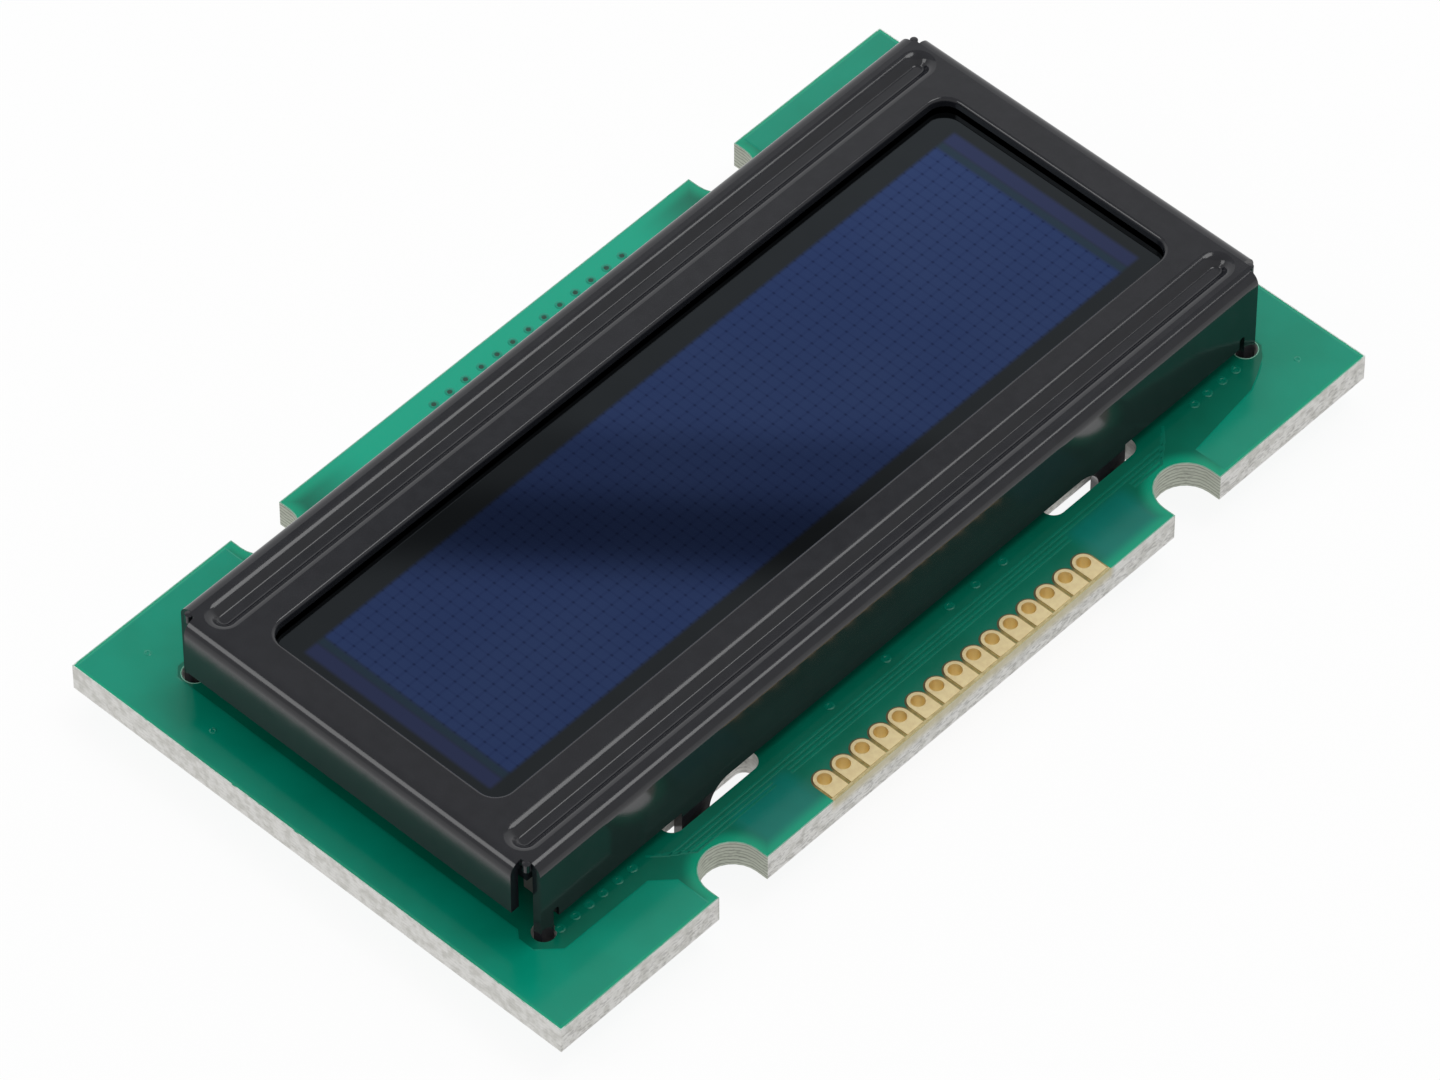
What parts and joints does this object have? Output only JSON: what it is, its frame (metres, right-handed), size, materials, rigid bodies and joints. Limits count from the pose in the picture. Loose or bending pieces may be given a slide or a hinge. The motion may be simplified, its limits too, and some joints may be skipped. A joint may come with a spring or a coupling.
{
  "type": "graphic display module",
  "caption": "Flat dot-matrix display on a green circuit board, with a black folded sheet-metal bezel, mounting notches at the long edges and a row of plated edge pads.",
  "frame": {"origin": "bottom centre: under the middle of the board, at the level of the lower ends of the twisted tabs", "axes": "+X along the long side, +Y from the padded edge to the far edge, +Z out of the display"},
  "size_m": [0.0552, 0.0312, 0.0082],
  "materials": {
    "board": "green mask on glass-fibre laminate",
    "gold": "thin gold plating",
    "bezel_paint": "semi-gloss black",
    "film": "dark polarizing film",
    "glass": "clear",
    "seal_resin": "cured resin",
    "drying_sheet": "matte",
    "foam": "matte foam",
    "elastomer": "matte silicone",
    "silicon": "polished",
    "black_resin": "cured resin",
    "capacitor_ceramic": "matte",
    "resistor_ceramic": "matte",
    "tin": "bright tin",
    "ferrite": "matte dark",
    "moulding": "matte black"
  },
  "bodies": {
    "root": {"circuit_board": "board", "edge_pads": "gold", "front_contacts": "gold", "back_contacts": "gold", "bezel": "bezel_paint", "polarizer": "film", "front_glass": "glass", "seal_ring": "seal_resin", "rear_cap": "glass", "desiccant_sheet": "drying_sheet", "foam_pad": "foam", "front_strip": "elastomer", "back_strip": "elastomer", "driver_die": "silicon", "glob_top": "black_resin", "capacitor_bodies": "capacitor_ceramic", "capacitor_ends": "tin", "resistor_bodies": "resistor_ceramic", "resistor_coats": "black_resin", "resistor_ends": "tin", "inductor_core": "ferrite", "inductor_ends": "tin", "converter_body": "moulding", "converter_leads": "tin", "diode_body": "moulding", "diode_leads": "tin", "solder_lands": "tin"}
  },
  "joints": []
}
